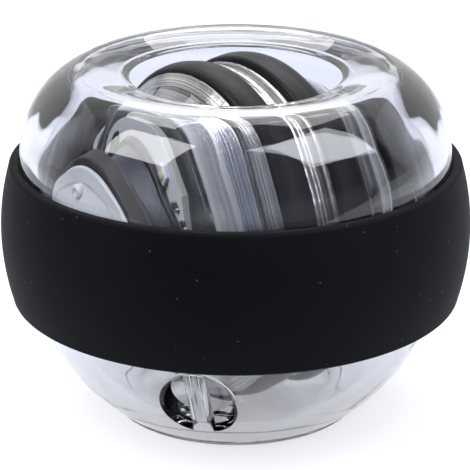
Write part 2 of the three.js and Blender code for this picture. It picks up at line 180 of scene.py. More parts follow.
def swept(start, pull, other_pull, end, steps):
    """Points of a smooth curve from start to end that heads for its two pulls."""
    corners = (Vector(corner) for corner in (start, pull, other_pull, end))
    return [tuple(point) for point in interpolate_bezier(*corners, steps)]


def rounded(outline, steps=4):
    """Rounds each corner of a closed outline that has a third number, the size of its edge."""
    out = []
    for i, point in enumerate(outline):
        here = Vector(point[:2])
        if len(point) == 2:
            out.append(tuple(here))
            continue
        before = Vector(outline[i - 1][:2]) - here
        after = Vector(outline[(i + 1) % len(outline)][:2]) - here
        reach = min(point[2], 0.45 * before.length, 0.45 * after.length)
        start, end = here + before.normalized() * reach, here + after.normalized() * reach
        for k in range(steps + 1):
            t = k / steps
            out.append(tuple(start * (1 - t) ** 2 + here * 2 * t * (1 - t) + end * t * t))
    return out


def finer(outline, step):
    """Adds points along an outline so that none of its stretches is longer than step."""
    out = []
    for i, point in enumerate(outline):
        here, after = Vector(point), Vector(outline[(i + 1) % len(outline)])
        count = max(1, math.ceil((after - here).length / step))
        out += [tuple(here.lerp(after, k / count)) for k in range(count)]
    return out


def turn_z(degrees):
    return Matrix.Rotation(math.radians(degrees), 4, "Z")


CASING = Matrix.Translation((0, 0, EQUATOR))
ALONG_AXLE = Matrix.Rotation(math.pi / 2, 4, "Y")
OFF_AXIS = 1e-6


def rotor_end(degrees):
    """Turns +Z into the direction of one end of the axle, with local +X down and +Y to the side."""
    return CASING @ Matrix.Rotation(AXLE_TURN + math.radians(degrees), 4, "Z") @ ALONG_AXLE


def solid(name, made, place):
    """A mesh object from a bmesh drawn in millimetres."""
    bmesh.ops.recalc_face_normals(made, faces=made.faces)
    made.transform(Matrix.Scale(MM, 4) @ place)
    mesh = bpy.data.meshes.new(name)
    made.to_mesh(mesh)
    made.free()
    piece = bpy.data.objects.new(name, mesh)
    bpy.context.scene.collection.objects.link(piece)
    return piece


def turned(name, outline, place=CASING, sides=192, shape=None):
    """Turns an outline about +Z. Shape may move a point, given its radius, turn and height, and
    an outline that starts and ends on the axis stays open there."""
    made = bmesh.new()
    rows = []
    for radius, height in outline:
        if radius < OFF_AXIS:
            rows.append([made.verts.new((0, 0, height))] * sides)
            continue
        row = []
        for k in range(sides):
            turn = 2 * math.pi * k / sides
            r, h = shape(radius, turn, height) if shape else (radius, height)
            row.append(made.verts.new((r * math.cos(turn), r * math.sin(turn), h)))
        rows.append(row)
    if outline[0][0] > OFF_AXIS:
        rows.append(rows[0])
    for low, high in zip(rows, rows[1:]):
        for k in range(sides):
            corners = list(dict.fromkeys((low[k], low[k - 1], high[k - 1], high[k])))
            if len(corners) > 2:
                made.faces.new(corners)
    return solid(name, made, place)


def block(name, size, place, edge=0.1):
    """A box with rounded edges, its sizes along the axes of its place."""
    made = bmesh.new()
    bmesh.ops.create_cube(made, size=1, matrix=Matrix.Diagonal((*size, 1)))
    bmesh.ops.bevel(made, geom=made.edges, offset=edge, segments=3, profile=0.5, affect="EDGES")
    return solid(name, made, place)


def bake(piece):
    """Applies a piece's modifiers."""
    bpy.context.view_layer.update()
    shown = piece.evaluated_get(bpy.context.evaluated_depsgraph_get())
    mesh = bpy.data.meshes.new_from_object(shown)
    piece.modifiers.clear()
    piece.data = mesh


def cut(piece, other, operation, keep=False):
    """Joins another solid to a piece, cuts it away or keeps what they share. The other solid is
    dropped where it isn't kept."""
    step = piece.modifiers.new("step", "BOOLEAN")
    step.object, step.operation, step.solver = other, operation, "EXACT"
    bake(piece)
    if not keep:
        bpy.data.objects.remove(other)
    return piece


def dress(piece, body, material, stands_for=(), sharp=32):
    """Gives a piece its finish and its body. Faces that meet at less than sharp degrees shade
    as one surface, and large faces keep their own direction next to small rounded edges."""
    piece.data.materials.clear()
    piece.data.materials.append(material)
    piece.data.polygons.foreach_set("use_smooth", [True] * len(piece.data.polygons))
    piece.data.set_sharp_from_angle(angle=math.radians(sharp))
    step = piece.modifiers.new("step", "WEIGHTED_NORMAL")
    step.keep_sharp = True
    bake(piece)
    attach(piece, body)
    if stands_for:
        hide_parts(*stands_for)


# Finishes


def linear(code):
    """The linear colour of an sRGB hex value."""
    out = []
    for i in (0, 2, 4):
        share = int(code[i : i + 2], 16) / 255
        out.append(share / 12.92 if share <= 0.04045 else ((share + 0.055) / 1.055) ** 2.4)
    return (*out, 1.0)


WHITE = linear("ffffff")


def per(size):
    """The scale of a pattern whose lumps are size millimetres across."""
    return 1 / (size * MM)


def add(tree, kind, sockets=(), out=None, **settings):
    """Adds a node and gives back an output: the one named, or else the first in use. Sockets are
    given by name, or in order as a list. Each gets a value, or a link from a node's output."""
    made = tree.nodes.new("ShaderNode" + kind)
    for name, value in settings.items():
        setattr(made, name, value)
    if isinstance(sockets, dict):
        inputs, values = [made.inputs[name] for name in sockets], sockets.values()
    else:
        inputs, values = [socket for socket in made.inputs if socket.enabled], sockets
    for socket, value in zip(inputs, values):
        if isinstance(value, bpy.types.NodeSocket):
            tree.links.new(value, socket)
        else:
            socket.default_value = value
    return made.outputs[out] if out else next((o for o in made.outputs if o.enabled), None)


def emptied(owner):
    """The empty node tree of a material or of the world."""
    owner.use_nodes = True
    owner.node_tree.nodes.clear()
    return owner.node_tree


def blank(name):
    """A new material, its empty tree, and where each point of the piece lies."""
    material = bpy.data.materials.new(name)
    tree = emptied(material)
    return material, tree, add(tree, "TexCoord", out="Object")


def ended(material, shader):
    """Gives a material its surface."""
    add(material.node_tree, "OutputMaterial", {"Surface": shader})
    return material


def mirror_ray(tree, path):
    """One where a ray comes off a surface, and none where it comes through one."""
    rays = [path["Is Glossy Ray"], path["Is Transmission Ray"]]
    return add(tree, "Math", rays, operation="SUBTRACT")


def lamps_through(material, plastic, shade):
    """Ends a clear material so that what lamps send goes straight through it."""
    tree = material.node_tree
    through = add(tree, "BsdfTransparent", {"Color": shade})
    lamp = add(tree, "LightPath", out="Is Shadow Ray")
    return ended(material, add(tree, "MixShader", [lamp, plastic, through]))


def clear_plastic(name, tint, shade, index, wave, scratch):
    """Glass-like moulded plastic, with flow waves, fine level marks and smears. The width of its
    waves and the depth of its marks are in millimetres."""
    material, tree, place = blank(name)
    flow = add(tree, "TexNoise", [place, per(wave), 1])
    level = add(tree, "Mapping", {"Vector": place, "Scale": (1, 1, 9)})
    marks = add(tree, "TexNoise", [level, per(0.6), 2])
    smears = add(tree, "TexNoise", [place, per(3.5), 3])
    bump = add(tree, "Bump", {"Height": flow, "Distance": 0.02 * wave * MM})
    bump = add(tree, "Bump", {"Height": marks, "Distance": scratch * MM, "Normal": bump})
    sockets = {
        "Base Color": tint,
        "Roughness": add(tree, "MapRange", [smears, 0.55, 0.8, 0.01, 0.05]),
        "IOR": index,
        "Transmission Weight": 1.0,
        "Normal": bump,
    }
    return lamps_through(material, add(tree, "BsdfPrincipled", sockets), shade)


def polycarbonate(colour):
    """Clear polycarbonate, moulded in a polished tool: high index, bright edges, faint waves."""
    return clear_plastic("polycarbonate_moulded", colour, linear("fafbfd"), 1.585, 9, 0.0006)


def acrylic(colour):
    """Clear acrylic, moulded: softer edges than the casing and rubbed by handling the rotor."""
    return clear_plastic("acrylic_moulded", colour, linear("f8f9fc"), 1.49, 5, 0.004)


def round_axle(tree, place):
    """Places along the axle and out from it, in which what a lathe leaves runs in rings."""
    turned_back = {"Location": (0, 0, -EQUATOR * MM), "Rotation": (0, 0, -AXLE_TURN)}
    level = add(tree, "Mapping", {"Vector": place, **turned_back})
    parts = add(tree, "SeparateXYZ", [level]).node.outputs
    flat = add(tree, "CombineXYZ", {"Y": parts["Y"], "Z": parts["Z"]})
    out = add(tree, "VectorMath", [flat], operation="LENGTH")
    return add(tree, "CombineXYZ", {"X": parts["X"], "Y": out})


def acrylic_blasted():
    """Acrylic from a blasted part of the mould: milky, it glows where light comes through it."""
    material, tree, place = blank("acrylic_blasted")
    fine = add(tree, "TexNoise", [place, per(0.3), 3])
    waves = add(tree, "TexNoise", [round_axle(tree, place), per(1.4), 2])
    bump = add(tree, "Bump", {"Height": waves, "Distance": 0.1 * MM})
    sockets = {
        "Base Color": linear("f4f6fc"),
        "Roughness": add(tree, "MapRange", [waves, 0, 1, 0.1, 0.3]),
        "IOR": 1.49,
        "Transmission Weight": add(tree, "MapRange", [waves, 0.35, 0.65, 0.55, 0.85]),
        "Normal": add(tree, "Bump", {"Height": fine, "Distance": 0.02 * MM, "Normal": bump}),
    }
    return lamps_through(material, add(tree, "BsdfPrincipled", sockets), linear("f0f2f6"))


def silicone(colour):
    """Black silicone rubber, moulded in a fine-blasted tool: matt, even, and holds dust."""
    material, tree, place = blank("silicone_moulded")
    fine = add(tree, "TexNoise", [place, per(0.18), 4])
    broad = add(tree, "TexNoise", [place, per(14), 2])
    dust = add(tree, "TexVoronoi", {"Vector": place, "Scale": per(2.3)}, out="Distance")
    speck = add(tree, "MapRange", [dust, 0.035, 0.06, 1, 0])
    cloud = add(tree, "MapRange", [broad, 0.35, 0.65])
    body = add(tree, "Mix", [cloud, colour, linear("09090f")], data_type="RGBA")
    sockets = {
        "Base Color": add(tree, "Mix", [speck, body, linear("565a66")], data_type="RGBA"),
        "Roughness": add(tree, "MapRange", [broad, 0, 1, 0.6, 0.72]),
        "IOR": 1.41,
        "Specular IOR Level": 0.12,
        "Normal": add(tree, "Bump", {"Height": fine, "Distance": 0.012 * MM}),
    }
    return ended(material, add(tree, "BsdfPrincipled", sockets))


def white_abs():
    """White ABS, injection moulded: satin, slightly see-through at thin edges."""
    material, tree, place = blank("abs_moulded_white")
    cloud = add(tree, "TexNoise", [place, per(6), 2])
    fine = add(tree, "TexNoise", [place, per(0.3), 3])
    tones = [cloud, linear("dfe3ec"), linear("f2f4f8")]
    sockets = {
        "Base Color": add(tree, "Mix", tones, data_type="RGBA"),
        "Roughness": add(tree, "MapRange", [fine, 0, 1, 0.28, 0.4]),
        "IOR": 1.53,
        "Subsurface Weight": 0.25,
        "Subsurface Radius": (2 * MM, 2 * MM, 2 * MM),
        "Normal": add(tree, "Bump", {"Height": fine, "Distance": 0.006 * MM}),
    }
    return ended(material, add(tree, "BsdfPrincipled", sockets))


def zinc_casting(colour):
    """Zinc alloy, die cast and turned on a lathe: silvery, with fine bright rings round the axle,
    drawn 0.3 mm wide so that they show, a warm sparkle and few dark pores."""
    material, tree, place = blank("zinc_die_cast")
    rings = add(tree, "TexNoise", [round_axle(tree, place), per(0.3), 3])
    fine = add(tree, "TexNoise", [place, per(0.22), 3])
    broad = add(tree, "TexNoise", [place, per(7), 2])
    bright = add(tree, "MapRange", [rings, 0.35, 0.6])
    pores = add(tree, "MapRange", [fine, 0.66, 0.78, 0, 0.8])
    metal = add(tree, "Mix", [bright, linear("8a8c92"), colour], data_type="RGBA")
    bump = add(tree, "Bump", {"Height": rings, "Distance": 0.012 * MM})
    sockets = {
        "Base Color": add(tree, "Mix", [pores, metal, linear("5f6168")], data_type="RGBA"),
        "Metallic": 1.0,
        "Roughness": add(tree, "MapRange", [broad, 0, 1, 0.14, 0.28]),
        "Normal": add(tree, "Bump", {"Height": fine, "Distance": 0.04 * MM, "Normal": bump}),
    }
    return ended(material, add(tree, "BsdfPrincipled", sockets))


def nitrile(colour):
    """Black nitrile rubber, moulded and rubbed by thumbs: satin, with fine pale scuffs."""
    material, tree, place = blank("nitrile_moulded")
    scuffs = add(tree, "TexNoise", [place, per(0.35), 4])
    broad = add(tree, "TexNoise", [place, per(6), 2])
    worn = add(tree, "MapRange", [scuffs, 0.55, 0.8])
    sockets = {
        "Base Color": add(tree, "Mix", [worn, colour, linear("24262d")], data_type="RGBA"),
        "Roughness": add(tree, "MapRange", [broad, 0, 1, 0.34, 0.5]),
        "IOR": 1.52,
        "Specular IOR Level": 0.16,
        "Normal": add(tree, "Bump", {"Height": scuffs, "Distance": 0.015 * MM}),
    }
    return ended(material, add(tree, "BsdfPrincipled", sockets))


def solder_mask():
    """Glass-epoxy board under white solder mask: satin white, a little uneven over its tracks."""
    material, tree, place = blank("board_white_mask")
    squares = {"Vector": place, "Scale": per(2.6)}
    tracks = add(tree, "TexVoronoi", squares, out="Distance", distance="CHEBYCHEV")
    fine = add(tree, "TexNoise", [place, per(0.5), 2])
    tones = [fine, linear("eceef6"), linear("f8f9fd")]
    sockets = {
        "Base Color": add(tree, "Mix", tones, data_type="RGBA"),
        "Roughness": 0.3,
        "IOR": 1.5,
        "Coat Weight": 0.3,
        "Coat Roughness": 0.15,
        "Normal": add(tree, "Bump", {"Height": tracks, "Distance": 0.03 * MM, "Strength": 0.6}),
    }
    return ended(material, add(tree, "BsdfPrincipled", sockets))


def winding(colour):
    """Enamelled copper wire wound in layers and varnished dark: glossy ridges of fine wire."""
    material, tree, place = blank("copper_wire_varnished")
    patches = add(tree, "TexNoise", [place, per(1.2), 3])
    fine = add(tree, "TexNoise", [place, per(0.2), 2])
    sockets = {
        "Base Color": add(tree, "Mix", [patches, colour, linear("4e505c")], data_type="RGBA"),
        "Metallic": 0.35,
        "Roughness": 0.38,
        "Coat Weight": 0.5,
        "Coat Roughness": 0.2,
        "Normal": add(tree, "Bump", {"Height": fine, "Distance": 0.01 * MM}),
    }
    return ended(material, add(tree, "BsdfPrincipled", sockets))


def grained(name, size, detail, depth, sockets):
    """A material that follows one grain, its lumps size millimetres across and depth high. A
    socket that has a list goes from its first value to its second as the grain rises."""
    material, tree, place = blank(name)
    grain = add(tree, "TexNoise", [place, per(size), detail])
    for socket, ends in sockets.items():
        if isinstance(ends, list) and socket == "Base Color":
            sockets[socket] = add(tree, "Mix", [grain, *ends], data_type="RGBA")
        elif isinstance(ends, list):
            sockets[socket] = add(tree, "MapRange", [grain, 0, 1, *ends])
    if depth:
        sockets["Normal"] = add(tree, "Bump", {"Height": grain, "Distance": depth * MM})
    return ended(material, add(tree, "BsdfPrincipled", sockets))


def ferrite():
    """Sintered ferrite, ground on its faces: dull dark brown, with pores that catch no light."""
    tones = [linear("130f12"), linear("2a2023")]
    sockets = {"Base Color": tones, "Roughness": [0.4, 0.65]}
    return grained("ferrite_sintered", 0.25, 5, 0.02, sockets)


def ground_steel():
    """Hardened steel pin, centreless ground: bright, with a fine unevenness from the wheel."""
    sockets = {"Base Color": linear("c4c7cc"), "Metallic": 1.0, "Roughness": [0.12, 0.28]}
    return grained("steel_ground", 0.2, 3, 0.002, sockets)


def glass_epoxy():
    """The board's sawn edge: pale green-grey glass cloth in epoxy, in strands 0.25 mm wide."""
    tones = [linear("9fa39a"), linear("d4d6ca")]
    return grained("glass_epoxy_sawn", 0.25, 3, 0.03, {"Base Color": tones, "Roughness": 0.55})


def black_nylon():
    """Glass-filled black nylon, moulded: satin, with a fine fibre grain."""
    tones = [linear("1d1e22"), linear("2c2d33")]
    sockets = {"Base Color": tones, "Roughness": [0.35, 0.5], "IOR": 1.53}
    return grained("nylon_moulded_black", 0.22, 4, 0.015, sockets)


def epoxy_black():
    """Moulded black epoxy of a chip: matt and fine."""
    tones = [linear("17181b"), linear("26272b")]
    return grained("epoxy_moulded_black", 0.1, 2, 0.004, {"Base Color": tones, "Roughness": 0.5})


def tin_solder():
    """Tin solder and tinned legs: bright, soft rounded blobs."""
    sockets = {"Base Color": linear("c9ccd0"), "Metallic": 1.0, "Roughness": [0.2, 0.45]}
    return grained("tin_soldered", 0.3, 3, 0.01, sockets)


def led_resin():
    """Clear resin over a yellow phosphor: glossy and warm, milky inside."""
    tones = [linear("e9d67a"), linear("f5ecb8")]
    coat = {"Coat Weight": 1.0, "Coat Roughness": 0.04}
    sockets = {"Base Color": tones, "Roughness": 0.12, "IOR": 1.51, **coat}
    return grained("led_resin_cast", 0.4, 2, 0, sockets)


FINISHES = {}


def once(make, *inputs):
    """Makes a finish at its first use and gives back the same one later."""
    if make.__name__ not in FINISHES:
        FINISHES[make.__name__] = make(*inputs)
    return FINISHES[make.__name__]


# Pieces


def colour_choice(name, description, code):
    """A colour that a user would change."""
    return FloatVectorProperty(
        name=name,
        description=description,
        subtype="COLOR",
        size=4,
        min=0,
        max=1,
        default=linear(code),
    )


class BallSizes(bpy.types.PropertyGroup):
    """Sizes that change how finely the pieces are drawn, and the coil's wire."""

    casing_sides: IntProperty(
        name="Casing sides", description="Faces round the clear shells", default=288, min=48
    )
    rotor_sides: IntProperty(
        name="Rotor sides", description="Faces round the rotor's pieces", default=192, min=48
    )
    wire: FloatProperty(
        name="Wire", description="Thickness of the coil's wire", default=0.26 * MM, unit="LENGTH"
    )


class BallColours(bpy.types.PropertyGroup):
    """Colours that a maker of such balls would change."""

    shell: colour_choice("Shell", "Tint of the clear casing", "fafbff")
    band: colour_choice("Band", "Colour of the silicone band", "050509")
    tyre: colour_choice("Tyres", "Colour of the rotor's tyres", "08090d")
    cast: colour_choice("Casting", "Colour of the cast flywheel", "d0cec8")


def upper_outline():
    """The upper shell from its seat on the lower one, over crown and lip, and back inside."""
    crest, under = height_at(*OUTER_TOP, CREST), height_at(*INNER_TOP, UNDER)
    rise, fall = steepness_at(*OUTER_TOP, CREST), steepness_at(*INNER_TOP, UNDER)
    in_lip = height_at(*INNER_TOP, LIP)
    out_lip, top = in_lip + 2 * LIP_HALF, in_lip + UNDER_RISE
    groove_top = radius_at(*INNER_TOP, GROOVE_HALF)
    dish = swept(
        (CREST, crest),
        (CREST - CREST_PULL, crest + CREST_PULL * rise),
        (LIP + DISH_PULL, out_lip + DISH_RISE),
        (LIP, out_lip),
        40,
    )
    under_dish = swept(
        (LIP, in_lip),
        (LIP + UNDER_LIP_PULL, in_lip + UNDER_LIP_RISE * UNDER_RISE),
        (UNDER_TOP - UNDER_IN_PULL, top),
        (UNDER_TOP, top),
        16,
    )
    under_crown = swept(
        (UNDER_TOP, top),
        (UNDER_TOP + UNDER_OUT_PULL, top),
        (UNDER - UNDER_PULL, under + UNDER_PULL * fall),
        (UNDER, under),
        40,
    )
    return (
        [(SPIGOT + SEAM, GROOVE_HALF), (SPIGOT + SEAM, 0)]
        + oval(*OUTER_TOP, 0, direction(CREST, crest), 90)[:-1]
        + dish[:-1]
        + arc(LIP, out_lip - LIP_HALF, LIP_WIDTH, LIP_HALF, 90, 270, 36)
        + under_dish[1:]
        + under_crown[1:-1]
        + oval(*INNER_TOP, direction(UNDER, under), direction(groove_top, GROOVE_HALF), 40)
    )


def bowl_outside():
    """The lower shell from the rounded edge of its base up to the seam."""
    start = radius_at(*OUTER_BOWL, BASE - BASE_EDGE)
    foot = radius_at(*OUTER_BOWL, BASE) - BASE_EDGE
    edge = arc(foot, BASE_EDGE - BASE, start - foot, BASE_EDGE, -90, 0, 10)
    side = direction(start, BASE_EDGE - BASE), direction(SHELL, -SEAM)
    return edge[:-1] + oval(*OUTER_BOWL, *side, 60)


def on_bowl(inset):
    """The place of the strap recess: local +X along the wall's slope, +Z straight out of it."""
    width, depth, power = OUTER_BOWL
    radius = radius_at(width, depth, power, RECESS_DROP)
    slope = math.atan2(RECESS_DROP / depth**power, radius / width**power)
    return (
        CASING
        @ Matrix.Rotation(RECESS_TURN, 4, "Z")
        @ Matrix.Translation((radius, 0, -RECESS_DROP))
        @ Matrix.Rotation(math.pi / 2 + slope, 4, "Y")
        @ Matrix.Translation((0, 0, -inset))
    )


def scoop(extra):
    """The oval solid that hollows the strap recess, larger all round by extra."""
    made = bmesh.new()
    bmesh.ops.create_uvsphere(made, u_segments=96, v_segments=48, radius=1)
    made.transform(Matrix.Diagonal((*(size + extra for size in RECESS_SIZE), 1)))
    return solid("scoop", made, on_bowl(0))


class BALL_OT_shells(bpy.types.Operator):
    """Turns the two clear shells, with the lip of the opening and the strap recess with its post"""

    bl_idname = "wrist_ball.shells"
    bl_label = "Clear shells"

    def execute(self, context):
        sides = context.scene.ball_sizes.casing_sides
        clear = once(polycarbonate, tuple(context.scene.ball_colours.shell))
        upper = turned("clear_upper_shell", upper_outline(), sides=sides)
        dress(upper, "casing", clear, ["upper_shell"])

        groove_foot = direction(radius_at(*INNER_BOWL, GROOVE_HALF), -GROOVE_HALF)
        floor = direction(radius_at(*INNER_BOWL, FLOOR), -FLOOR)
        groove = [
            (SPIGOT, -SEAM),
            (SPIGOT, GROOVE_HALF - SEAM),
            (GROOVE, GROOVE_HALF - SEAM),
            (GROOVE, -GROOVE_HALF),
        ]
        inside = oval(*INNER_BOWL, groove_foot, floor, 60) + [(0, -FLOOR)]
        outside = [(0, -BASE)] + bowl_outside()
        bowl = turned("clear_lower_shell", outside + groove + inside, sides=sides)
        whole = turned("whole", outside + [(0, -SEAM)], sides=sides)
        pocket = cut(scoop(RECESS_WALL), whole, "INTERSECT")
        post = turned(
            "post",
            [(0, -POST_HALF), (POST, -POST_HALF), (POST, POST_HALF), (0, POST_HALF)],
            on_bowl(POST_INSET) @ ALONG_AXLE,
            sides=64,
        )
        cut(post, pocket, "INTERSECT", keep=True)
        cut(bowl, pocket, "UNION")
        cut(bowl, scoop(0), "DIFFERENCE")
        cut(bowl, post, "UNION")
        dress(bowl, "casing", clear, ["lower_shell"])
        return {"FINISHED"}


class BALL_OT_band(bpy.types.Operator):
    """Turns the grip band, crowned outside, with rolled edges"""

    bl_idname = "wrist_ball.band"
    bl_label = "Grip band"

    def execute(self, context):
        def shell_at(z):
            return radius_at(*(OUTER_TOP if z > 0 else OUTER_BOWL), z) + BAND_FIT

        def bulge_at(z):
            return BAND_OUT - BAND_CROWN * (z / BAND_HALF) ** 2

        top = BAND_HALF - BAND_ROLL
        inner = [BAND_HALF - 2 * BAND_HALF * i / 40 for i in range(41)]
        outer = [-top + 2 * top * i / 60 for i in range(61)]
        roll = arc(bulge_at(top) - BAND_ROLL, top, BAND_ROLL, BAND_ROLL, 0, 90, 8)
        outline = (
            [(shell_at(z), z) for z in inner]
            + [(r, -z) for r, z in reversed(roll)][:-1]
            + [(bulge_at(z), z) for z in outer]
            + roll[1:]
        )
        band = turned("silicone_band", outline, sides=context.scene.ball_sizes.casing_sides)
        rubber = once(silicone, tuple(context.scene.ball_colours.band))
        dress(band, "casing", rubber, ["grip_band"], sharp=50)
        return {"FINISHED"}


class BALL_OT_race(bpy.types.Operator):
    """Turns the race ring, and drills it for the two ends of the axle"""

    bl_idname = "wrist_ball.race"
    bl_label = "Race ring"

    def execute(self, context):
        outline = rounded(
            [
                (HOOP_IN, -HOOP_HALF, 0.25),
                (HOOP_OUT, -HOOP_HALF, 0.25),
                (HOOP_OUT, -FLANGE_HALF),
                (FLANGE, -FLANGE_HALF, 0.15),
                (FLANGE, FLANGE_HALF, 0.15),
                (HOOP_OUT, FLANGE_HALF),
                (HOOP_OUT, HOOP_HALF, 0.25),
                (HOOP_IN, HOOP_HALF, 0.25),
            ]
        )
        ring = turned("race_hoop", outline, sides=context.scene.ball_sizes.casing_sides)
        hole = [(0, -DRILL_HALF), (BORE, -DRILL_HALF), (BORE, DRILL_HALF), (0, DRILL_HALF)]
        cut(ring, turned("drill", hole, rotor_end(0), sides=48), "DIFFERENCE")
        dress(ring, "race", once(white_abs), ["race_ring"])
        return {"FINISHED"}


class BALL_OT_magnets(bpy.types.Operator):
    """Turns the magnets and the white cones that carry them, with their dimpled stakes"""

    bl_idname = "wrist_ball.magnets"
    bl_label = "Magnets and carriers"

    def execute(self, context):
        tip = REACH - TIP_DROP
        slope = (tip - CARRIER_FACE) / (CARRIER - CARRIER_TIP)
        neck, neck_end = MAGNET_BORE - MAGNET_SEAT, MAGNET_IN + MAGNET_SEAT
        bevel = CARRIER_RIM + RIM_BEVEL
        cone_outline = [
            (BORE, neck_end, 0.1),
            (neck, neck_end, 0.2),
            (neck, CARRIER_BACK),
            (CARRIER, CARRIER_BACK, 0.2),
            (CARRIER, CARRIER_FACE, 0.3),
            (CARRIER - CARRIER_RIM, CARRIER_FACE + CARRIER_RIM * slope, 0.3),
            (CARRIER - bevel, CARRIER_FACE + bevel * slope - RIM_STEP, 0.2),
            (CARRIER_TIP + 1, tip - slope - RIM_STEP, 0.4),
            (CARRIER_TIP, tip, 0.2),
            (CARRIER_TIP, REACH, 0.1),
            (BORE, REACH, 0.1),
        ]
        face = tip - slope * (STAKE_CENTRE - CARRIER_TIP) + STAKE_RISE
        root = CARRIER_BACK + STAKE_ROOT
        wall = [
            (STAKE, root),
            (STAKE, face - DIMPLE_DEPTH, 0.1),
            (STAKE_TOP, face, 0.15),
            (DIMPLE, face, 0.1),
        ]
        stake_outline = [(0, root)] + rounded(wall) + [(0, face - DIMPLE_DEPTH)]
        magnet_outline = [
            (MAGNET_BORE, MAGNET_IN, 0.3),
            (MAGNET, MAGNET_IN, 0.35),
            (MAGNET, MAGNET_OUT, 0.35),
            (MAGNET_BORE, MAGNET_OUT, 0.3),
        ]
        for side, turn in SIDES:
            place = rotor_end(turn)
            cone = turned(side + "_white_cone", rounded(cone_outline), place, sides=160)
            for angle in STAKE_TURNS:
                there = place @ turn_z(angle) @ Matrix.Translation((-STAKE_CENTRE, 0, 0))
                cut(cone, turned("stake", stake_outline, there, sides=32), "UNION")
            dress(cone, "race", once(white_abs), [side + "_magnet_carrier"])
            ring = turned(side + "_ferrite_ring", rounded(magnet_outline), place, sides=160)
            dress(ring, "race", once(ferrite), [side + "_ring_magnet"])
        return {"FINISHED"}


class BALL_OT_flywheel(bpy.types.Operator):
    """Turns the axle and the cast flywheel, with its start-cord groove, ridges and cord hole"""

    bl_idname = "wrist_ball.flywheel"
    bl_label = "Axle and flywheel"

    def execute(self, context):
        pin_end = [(AXLE, AXLE_END - AXLE_TAPER), (AXLE_POINT, AXLE_END), (0, AXLE_END)]
        other_end = [(radius, -place) for radius, place in reversed(pin_end)]
        pin = turned("steel_axle", other_end + pin_end, rotor_end(0), sides=64)
        dress(pin, "rotor", once(ground_steel), ["axle"], sharp=50)

        end_face = [
            (SEAT, TYRE_OUT + TYRE_FIT, 0.1),
            (CAST_FLANGE, TYRE_OUT + TYRE_FIT, 0.2),
            (COVER, FLANGE_FACE, 0.15),
            (CONE_TOP, FLANGE_FACE, 0.1),
            (CONE_FOOT, CAST_FACE, 0.3),
            (CAST_WALL, CAST_FACE, 0.35),
            (CAST_WALL, CAST_FLOOR, 0.6),
            (BOSS, CAST_FLOOR, 0.6),
            (BOSS, BOSS_FACE, 0.2),
            (BORE, BOSS_FACE, 0.1),
        ]
        other_face = [(corner[0], -corner[1], *corner[2:]) for corner in reversed(end_face)]
        band = [(CENTRE - drop, place, edge) for drop, place, edge in CORD_BAND]
        middle = [(SEAT, CORD_BAND[0][1])] + band + [(SEAT, CORD_BAND[-1][1])]

        def chatter(radius, turn, height):
            """Turned metal isn't quite round: a light chatter on the rim and the groove's edges."""
            if radius < SEAT + 0.5:
                return radius, height
            wave = math.sin(37 * turn) * math.sin(11 * turn + 1.3) + 0.6 * math.sin(89 * turn)
            near_groove = abs(height) < 1.2
            return radius - CHATTER * (1 + wave), height + 0.8 * CHATTER * wave * near_groove

        wheel = turned(
            "cast_flywheel",
            finer(rounded(other_face + middle + end_face), 0.6),
            rotor_end(0),
            sides=context.scene.ball_sizes.rotor_sides * 2,
            shape=chatter,
        )
        half = CORD_HOLE_DEPTH
        drill = turned(
            "drill",
            [(0, -half), (CORD_HOLE, -half), (CORD_HOLE, half), (0, half)],
            rotor_end(0)
            @ Matrix.Translation((CENTRE - CORD_DEPTH, 0, CORD_HOLE_PLACE))
            @ ALONG_AXLE,
            sides=32,
        )
        cut(wheel, drill, "DIFFERENCE")
        cast = once(zinc_casting, tuple(context.scene.ball_colours.cast))
        dress(wheel, "rotor", cast, ["flywheel"])
        return {"FINISHED"}


class BALL_OT_tyres(bpy.types.Operator):
    """Turns the two rubber tyres, crowned, with rounded shoulders"""

    bl_idname = "wrist_ball.tyres"
    bl_label = "Tyres"

    def execute(self, context):
        sides = context.scene.ball_sizes.rotor_sides
        rubber = once(nitrile, tuple(context.scene.ball_colours.tyre))
        outline = rounded(
            [
                (TYRE_BORE, TYRE_IN, 0.1),
                (ROTOR - 2 * TYRE_ROLL, TYRE_IN, 0.2),
                (ROTOR - TYRE_ROLL, TYRE_IN + TYRE_ROLL, 0.4),
                (ROTOR, TYRE_CREST, 1.8),
                (ROTOR - TYRE_ROLL, TYRE_OUT - TYRE_SHOULDER, 0.5),
                (ROTOR - TYRE_SHOULDER, TYRE_OUT, 0.5),
                (TYRE_BORE, TYRE_OUT, 0.1),
            ]
        )
        for side, turn in SIDES:
            tyre = turned(side + "_rubber_tyre", finer(outline, 0.5), rotor_end(turn), sides)
            dress(tyre, "rotor", rubber, [side + "_tyre"])
        return {"FINISHED"}


